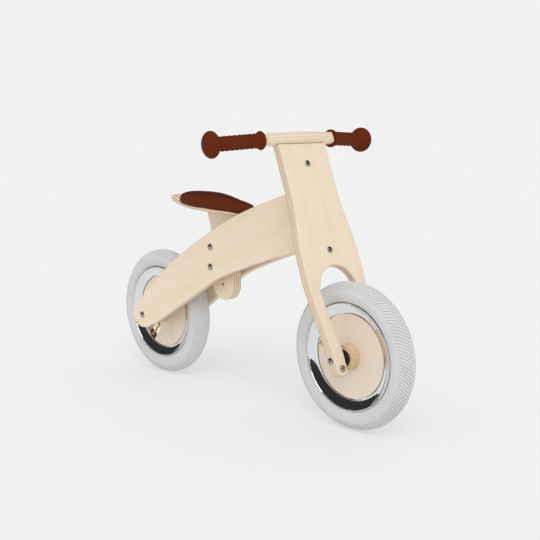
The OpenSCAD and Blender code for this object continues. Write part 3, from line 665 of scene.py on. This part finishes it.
BAR_BOW = 0.62
BAR_LENGTH = 0.178
BAR_DEPTH = 0.028
GRIP_LENGTH = 0.120
GRIP_END = 0.024
GRIP_END_HALF = 0.013
BARREL = 0.0126
FLANGE = 0.017
TENON = 0.00905
TENON_LENGTH = 0.096
GRIP_SIDES = 112
PIPS_ROUND, PIP_PITCH, PIP_HEIGHT = 9, 0.0105, 0.0010
BARREL_FROM, BARREL_STEPS = 0.0075, 74


def reach(node, direction):
    """Lowest and highest place of a CAD node along a direction."""
    along = [v.co.dot(direction) for v in nodes[node].data.vertices]
    return min(along), max(along)


def grip(side):
    """Rubber grip: inner flange, a barrel with staggered pips, and a mushroom end."""
    node = "grip_" + side
    hand = 1 if side == "left" else -1
    low, high = reach("handlebar", FORK_UP)
    _, front = reach("handlebar", FORK_OUT)
    end_turn = asin(BAR_LENGTH / 2 / BAR_BOW)
    bow_centre = FORK_UP * ((low + high) / 2) + FORK_OUT * (front - BAR_DEPTH / 2 - BAR_BOW)
    start = bow_centre + FORK_OUT * (BAR_BOW * cos(end_turn)) + ACROSS * (hand * BAR_LENGTH / 2)
    axis = (ACROSS * (hand * cos(end_turn)) - FORK_OUT * sin(end_turn)).normalized()
    ball_from = GRIP_LENGTH - 2 * GRIP_END_HALF
    ball_middle = GRIP_LENGTH - GRIP_END_HALF
    barrel = ball_from - 0.002 - BARREL_FROM

    profile = [(TENON, 0.0003), (FLANGE - 0.003, 0.0003)]
    profile += arc((FLANGE - 0.0026, 0.0029), 0.0026, -80, 80, 8)
    profile += [(BARREL + 0.0012, 0.0062), (BARREL + 0.0003, 0.0068)]
    first = len(profile)
    profile += [(BARREL, BARREL_FROM + barrel * k / BARREL_STEPS) for k in range(BARREL_STEPS + 1)]
    last = len(profile)
    profile += [(BARREL + 0.0006, ball_from - 0.0006)]
    profile += [(GRIP_END * cos(radians(a)), ball_middle + GRIP_END_HALF * sin(radians(a)))
                for a in range(-54, 85, 6)]
    profile += [(0.0, GRIP_LENGTH), (0.0, TENON_LENGTH), (TENON, TENON_LENGTH)]

    x = FORK_UP
    y = axis.cross(x).normalized()

    def build(bm):
        rings = []
        for k, (radius, along) in enumerate(profile):
            ring = []
            for n in range(GRIP_SIDES):
                t = 2 * pi * n / GRIP_SIDES
                r = max(radius, 1e-5)
                if first <= k < last:
                    fade = min(1.0, min(k - first, last - 1 - k) / 4)
                    bump = cos(2 * pi * along / PIP_PITCH) * cos(PIPS_ROUND * t)
                    r += PIP_HEIGHT * fade * max(0.0, bump) ** 0.7
                ring.append(start + axis * along + (x * cos(t) + y * sin(t)) * r)
            rings.append(ring)
        ring_grid(bm, rings)
        bmesh.ops.remove_doubles(bm, verts=bm.verts, dist=2e-5)

    new_piece("rubber_grip_" + side, build, GRIP_RUBBER, node, 60)


# ---------- button heads ----------

HEAD_RADIUS = 0.006
HEAD_HEIGHT = 0.0034
SOCKET = 0.0023


def button_bolts(node, out):
    """Button-head bolts with a round socket recess, one for each bolt of the node, and their shanks."""
    bolts = []
    for v in nodes[node].data.vertices:
        spot = v.co - out * v.co.dot(out)
        for place, points in bolts:
            if (place - spot).length < 0.02:
                points.append(v.co)
                break
        else:
            bolts.append((spot, [v.co]))

    def build(bm):
        for _, points in bolts:
            centre = sum(points, Vector()) / len(points)
            along = [(p - centre).dot(out) for p in points]
            top, bottom = max(along), min(along)
            shank = max((p - centre - out * a).length for p, a in zip(points, along)
                        if a < bottom + 0.002)
            seat = top - HEAD_HEIGHT
            profile = [(0.0, bottom), (shank, bottom), (shank, seat), (HEAD_RADIUS, seat),
                       (HEAD_RADIUS, seat + 0.0007)]
            profile += [(HEAD_RADIUS * cos(radians(a)),
                         seat + 0.0007 + (HEAD_HEIGHT - 0.0007) * sin(radians(a)))
                        for a in range(12, 67, 6)]
            profile += [(SOCKET, top - 0.0001), (SOCKET * 0.98, top - 0.0018), (0.0, top - 0.0018)]
            lathe(bm, profile, centre, out, 48)

    new_piece(node + "_turned", build, STEEL, node, 40)


# ---------- saddle ----------

SADDLE_SIDE = [(-0.118, 0.018), (-0.106, 0.036), (-0.086, 0.048), (-0.058, 0.052), (-0.024, 0.046),
               (0.012, 0.034), (0.042, 0.0235), (0.066, 0.017), (0.077, 0.009)]
SADDLE_ENDS = (-0.123, 0.080)
SEAM_HEIGHT = 0.0105
PUFF_LIMIT = 0.005
PUFF_STEPS = 20
PUFF_MESH = 0.0042
HELD_TOP, HELD_FADE = 0.012, 0.004
TUCK, TUCK_REACH = 0.0011, 0.003
WELT_RADIUS = 0.00115
STITCH_RISE = 0.0032


def smooth_loop(points, steps):
    """A closed smooth curve through points."""
    count = len(points)
    out = []
    for i in range(count):
        a, b, c, d = (Vector(points[(i + k - 1) % count]) for k in range(4))
        for k in range(steps):
            t = k / steps
            out.append(0.5 * (2 * b + (c - a) * t + (2 * a - 5 * b + 4 * c - d) * t * t
                              + (3 * b - a - 3 * c + d) * t ** 3))
    return out


class Saddle:
    """The tilted frame of the saddle: x forward along the base, z up from its underside."""

    def __init__(self):
        self.up = main_normal("saddle_base")
        if self.up.z < 0:
            self.up = -self.up
        self.forward = ACROSS.cross(self.up).normalized()
        low, high = reach("saddle_base", self.up)
        self.thick = high - low
        post_x = middle("seat_post").x
        self.origin = Vector((post_x, 0, (low - self.up.x * post_x) / self.up.z))

    def point(self, x, y, z):
        return self.origin + self.forward * x + ACROSS * y + self.up * z

    def local(self, p):
        d = p - self.origin
        return Vector((d.dot(self.forward), d.dot(ACROSS), d.dot(self.up)))


def cushion_outline():
    side = [(SADDLE_ENDS[0], 0.0)] + SADDLE_SIDE + [(SADDLE_ENDS[1], 0.0)]
    loop = [(x, -y) for x, y in side] + [(x, y) for x, y in reversed(side[1:-1])]
    return smooth_loop(loop, 5)


def inset(loop, amount):
    """A loop moved inwards by an amount, and never past the middle line."""
    out = []
    for k, p in enumerate(loop):
        ahead, behind = loop[(k + 1) % len(loop)], loop[k - 1]
        side = (ahead - behind).normalized()
        moved = p + Vector((-side.y, side.x)) * amount
        if moved.y * p.y < 0:
            moved.y = 0.0
        out.append(moved)
    return out


def inflate(obj, saddle):
    """Swells the cushion by cloth pressure with its lower edge held, then caps the movement."""
    even = obj.modifiers.new("even", "REMESH")
    even.mode = "VOXEL"
    even.voxel_size = PUFF_MESH
    settle(obj)
    held = obj.vertex_groups.new(name="held")
    for v in obj.data.vertices:
        height = saddle.local(v.co).z
        held.add([v.index], max(0.0, min(1.0, (HELD_TOP - height) / HELD_FADE)), "REPLACE")
    rest = [v.co.copy() for v in obj.data.vertices]
    cloth = obj.modifiers.new("swell", "CLOTH")
    cloth.settings.vertex_group_mass = "held"
    cloth.settings.quality = 6
    cloth.settings.mass = 0.3
    cloth.settings.tension_stiffness = 22
    cloth.settings.compression_stiffness = 22
    cloth.settings.bending_stiffness = 0.8
    cloth.settings.use_pressure = True
    cloth.settings.uniform_pressure_force = 4
    cloth.settings.effector_weights.gravity = 0
    for step in range(1, PUFF_STEPS + 1):
        bpy.context.scene.frame_set(step)
    swollen = obj.evaluated_get(bpy.context.evaluated_depsgraph_get()).data
    moved = [v.co.copy() for v in swollen.vertices]
    bpy.context.scene.frame_set(1)
    obj.modifiers.remove(cloth)
    for v, start, end in zip(obj.data.vertices, rest, moved):
        push = end - start
        if push.length > PUFF_LIMIT:
            push *= PUFF_LIMIT / push.length
        v.co = start + push


def saddle_pieces():
    """The padded cushion, the welt in its seam, and the stitches above it."""
    saddle = Saddle()
    loop = cushion_outline()
    low = 0.0042
    levels = [(low, 0.0055), (low + 0.002, 0.0022), (0.0105, 0.0008), (0.0165, 0.0012),
              (0.0215, 0.0032), (0.0250, 0.0068)]
    crown = [(0.0272, 0.82), (0.0285, 0.58), (0.0291, 0.3), (0.0292, 0.06)]
    centre = Vector((-0.03, 0.0))

    def build(bm):
        def shrunk(outline, share, z):
            return [saddle.point(*(centre + (p - centre) * share), z) for p in outline]

        under, top = inset(loop, levels[0][1]), inset(loop, levels[-1][1])
        rings = [shrunk(under, share, low) for share in (0.3, 0.7)]
        rings += [[saddle.point(p.x, p.y, z) for p in inset(loop, depth)] for z, depth in levels]
        rings += [shrunk(top, share, z) for z, share in crown]
        ring_grid(bm, rings, capped=True)

    pad = new_piece("padded_saddle", build, LEATHER, None, 180)
    inflate(pad, saddle)
    finer = pad.modifiers.new("finer", "SUBSURF")
    finer.levels = finer.render_levels = 1
    settle(pad)
    for v in pad.data.vertices:
        height = saddle.local(v.co).z
        near_seam = max(0.0, 1 - abs(height - SEAM_HEIGHT - 0.0008) / TUCK_REACH)
        if near_seam:
            inward = v.co - saddle.point(centre.x, centre.y, height)
            inward -= saddle.up * inward.dot(saddle.up)
            v.co -= inward.normalized() * TUCK * near_seam ** 2
    seam = [outline_hit(pad, saddle, p, SEAM_HEIGHT) for p in loop]
    lip = 0.0004
    base_line = base_outline(saddle)
    gap = 0.0003

    def base_space(bm):
        grown = [p + p.normalized() * lip for p in base_line]
        heights = (-0.01, saddle.thick + gap)
        ring_grid(bm, [[saddle.point(p.x, p.y, z) for p in grown] for z in heights], capped=True)

    cut(pad, base_space)
    pad.data.shade_smooth()
    pad.data.set_sharp_from_angle(angle=radians(55))
    hand_over(pad, "saddle_cushion")
    welt = new_piece("saddle_welt", lambda bm: tube(bm, seam, WELT_RADIUS, saddle.up), LEATHER,
                     None, 80)
    line = [outline_hit(pad, saddle, p, SEAM_HEIGHT + STITCH_RISE) for p in loop]
    threads = new_piece("saddle_stitches", lambda bm: stitches(bm, line, saddle), THREAD, None, 80)
    for trim in (welt, threads):
        hand_over(trim, body=body_of_node["saddle_cushion"], slot=slot_of_node["saddle_cushion"])


def base_outline(saddle):
    """The saddle base's outline, read from its upper face."""
    points = [saddle.local(v.co) for v in nodes["saddle_base"].data.vertices]
    top = [p for p in points if abs(p.z - saddle.thick) < 1e-4
           and (abs(p.y) > 0.0055 or abs(p.x) > 0.04)]
    seen = {(round(p.x, 5), round(p.y, 5)) for p in top}
    return [Vector(p) for p in sorted(seen, key=lambda p: atan2(p[1], p[0]))]


def outline_hit(pad, saddle, p, height):
    """Where the cushion's side is met from outside at one height."""
    outside = saddle.point(p.x * 1.3, p.y * 1.6, height)
    inside = saddle.point(p.x * 0.7, p.y * 0.7, height)
    found, place, _, _ = pad.ray_cast(outside, (inside - outside).normalized())
    return place if found else saddle.point(p.x, p.y, height)


def tube(bm, path, radius, up, sides=10):
    """A closed round tube along a closed path."""
    rings = []
    for k, p in enumerate(path):
        way = (path[(k + 1) % len(path)] - path[k - 1]).normalized()
        out = way.cross(up).normalized()
        rise = out.cross(way).normalized()
        rings.append([p + (out * cos(2 * pi * n / sides) + rise * sin(2 * pi * n / sides)) * radius
                      for n in range(sides)])
    ring_grid(bm, rings)


def stitches(bm, path, saddle):
    """Short threads laid end to end along a closed path, with a gap between them."""
    stitch, gap, radius = 0.0030, 0.0013, 0.00042
    lengths = [(path[(k + 1) % len(path)] - path[k]).length for k in range(len(path))]
    total = sum(lengths)
    count = int(total / (stitch + gap))

    def place(distance):
        distance %= total
        for k, length in enumerate(lengths):
            if distance <= length:
                return path[k].lerp(path[(k + 1) % len(path)], distance / length)
            distance -= length
        return path[0]

    for k in range(count):
        begin = total * k / count
        spots = [place(begin + stitch * share) for share in (0.0, 0.15, 0.5, 0.85, 1.0)]
        way = (spots[-1] - spots[0]).normalized()
        out = way.cross(saddle.up).normalized()
        rings = []
        for spot, swell in zip(spots, (0.05, 0.8, 1.0, 0.8, 0.05)):
            rings.append([bm.verts.new(spot + (out * cos(t) + saddle.up * sin(t)) * radius * swell)
                          for t in (2 * pi * n / 6 for n in range(6))])
        for a, b in zip(rings, rings[1:]):
            for n in range(6):
                m = (n + 1) % 6
                bm.faces.new((a[n], a[m], b[m], b[n]))
        bm.faces.new(rings[0])
        bm.faces.new(rings[-1])


# ---------- carried-over nodes ----------

def carry_over():
    """Finishes for the CAD nodes whose shapes are right as they are."""
    for name, obj in nodes.items():
        finish = FINISH_OF_SLOT.get(slot_of_node[name])
        if finish:
            paint(obj, finish)
    for name in ("head_dowels", "handlebar_dowels", "front_hub_spacers", "rear_hub_spacers"):
        paint(nodes[name], BEECH_ALONG_BAR)
    paint(nodes["head_block"], BEECH_BLOCK)


# ---------- studio ----------

def sun(name, turn, height, strength, spread):
    """A soft sun from an azimuth and a height, in degrees; azimuth 0 shines along +Y."""
    light = bpy.data.lights.new(name, "SUN")
    light.energy = strength
    light.angle = radians(spread)
    a, e = radians(turn), radians(height)
    back = Vector((sin(a) * cos(e), -cos(a) * cos(e), sin(e)))
    obj = bpy.data.objects.new(name, light)
    obj.location = back * 3
    obj.rotation_euler = back.to_track_quat("Z", "Y").to_euler()
    bpy.context.scene.collection.objects.link(obj)


PAPER = 0.42
BACKDROP = 0.879
AMBIENT = 0.84
CEILING = 0.035
FLOOR_HALF = 90.0


def grey(level):
    return level, level, level, 1


def studio():
    """A pale paper floor that meets the backdrop, an even surround and one soft key light."""
    mesh = bpy.data.meshes.new("floor")
    bm = bmesh.new()
    bmesh.ops.create_grid(bm, x_segments=1, y_segments=1, size=FLOOR_HALF)
    bm.to_mesh(mesh)
    bm.free()
    floor = bpy.data.objects.new("floor", mesh)
    floor.location.z = cad_box[0][2]
    bpy.context.scene.collection.objects.link(floor)
    mesh.materials.append(plain("paper_floor", grey(PAPER), grey(0.4), 1.0,
                                60.0, 0.1, 0.0, (0.01, 0.0001), Specular_IOR_Level=0.0,
                                Emission_Color=grey(1), Emission_Strength=0.437))
    world = bpy.data.worlds.new("studio")
    bpy.context.scene.world = world
    world.use_nodes = True
    g = Graph(world.node_tree)
    sky = world.node_tree.nodes["Background"]
    ray = g.node("LightPath").outputs
    soft = g.mix(ray["Is Diffuse Ray"], grey(CEILING), grey(AMBIENT))
    g.join(g.mix(ray["Is Camera Ray"], soft, grey(BACKDROP)), sky.inputs["Color"])
    sun("key_sun", 52, 46, 0.98, 40)


CAMERA_PLACE = Vector((1.3827, -1.2715, 0.5741))
CAMERA_TURN = (46.21, 9.56)
CAMERA_LENS = 64.19


def camera():
    """The studio camera, aimed by an azimuth and an elevation in degrees."""
    azimuth, elevation = (radians(a) for a in CAMERA_TURN)
    back = Vector((sin(azimuth) * cos(elevation), -cos(azimuth) * cos(elevation), sin(elevation)))
    view = bpy.data.cameras.new("studio_camera")
    view.lens = CAMERA_LENS
    view.sensor_width = 36
    obj = bpy.data.objects.new("studio_camera", view)
    obj.location = CAMERA_PLACE
    obj.rotation_euler = back.to_track_quat("Z", "Y").to_euler()
    bpy.context.scene.collection.objects.link(obj)
    bpy.context.scene.camera = obj


camera()
carry_over()
wooden_pieces()
for wheel_end in ("front", "rear"):
    tyre(wheel_end)
    rim(wheel_end)
for hand_side in ("right", "left"):
    grip(hand_side)
for bolts in ("fork_bolts", "fork_tip_bolts"):
    button_bolts(bolts, FORK_OUT)
saddle_pieces()
studio()
scene = bpy.context.scene
scene.view_settings.view_transform = "Standard"
scene.view_settings.look = "None"
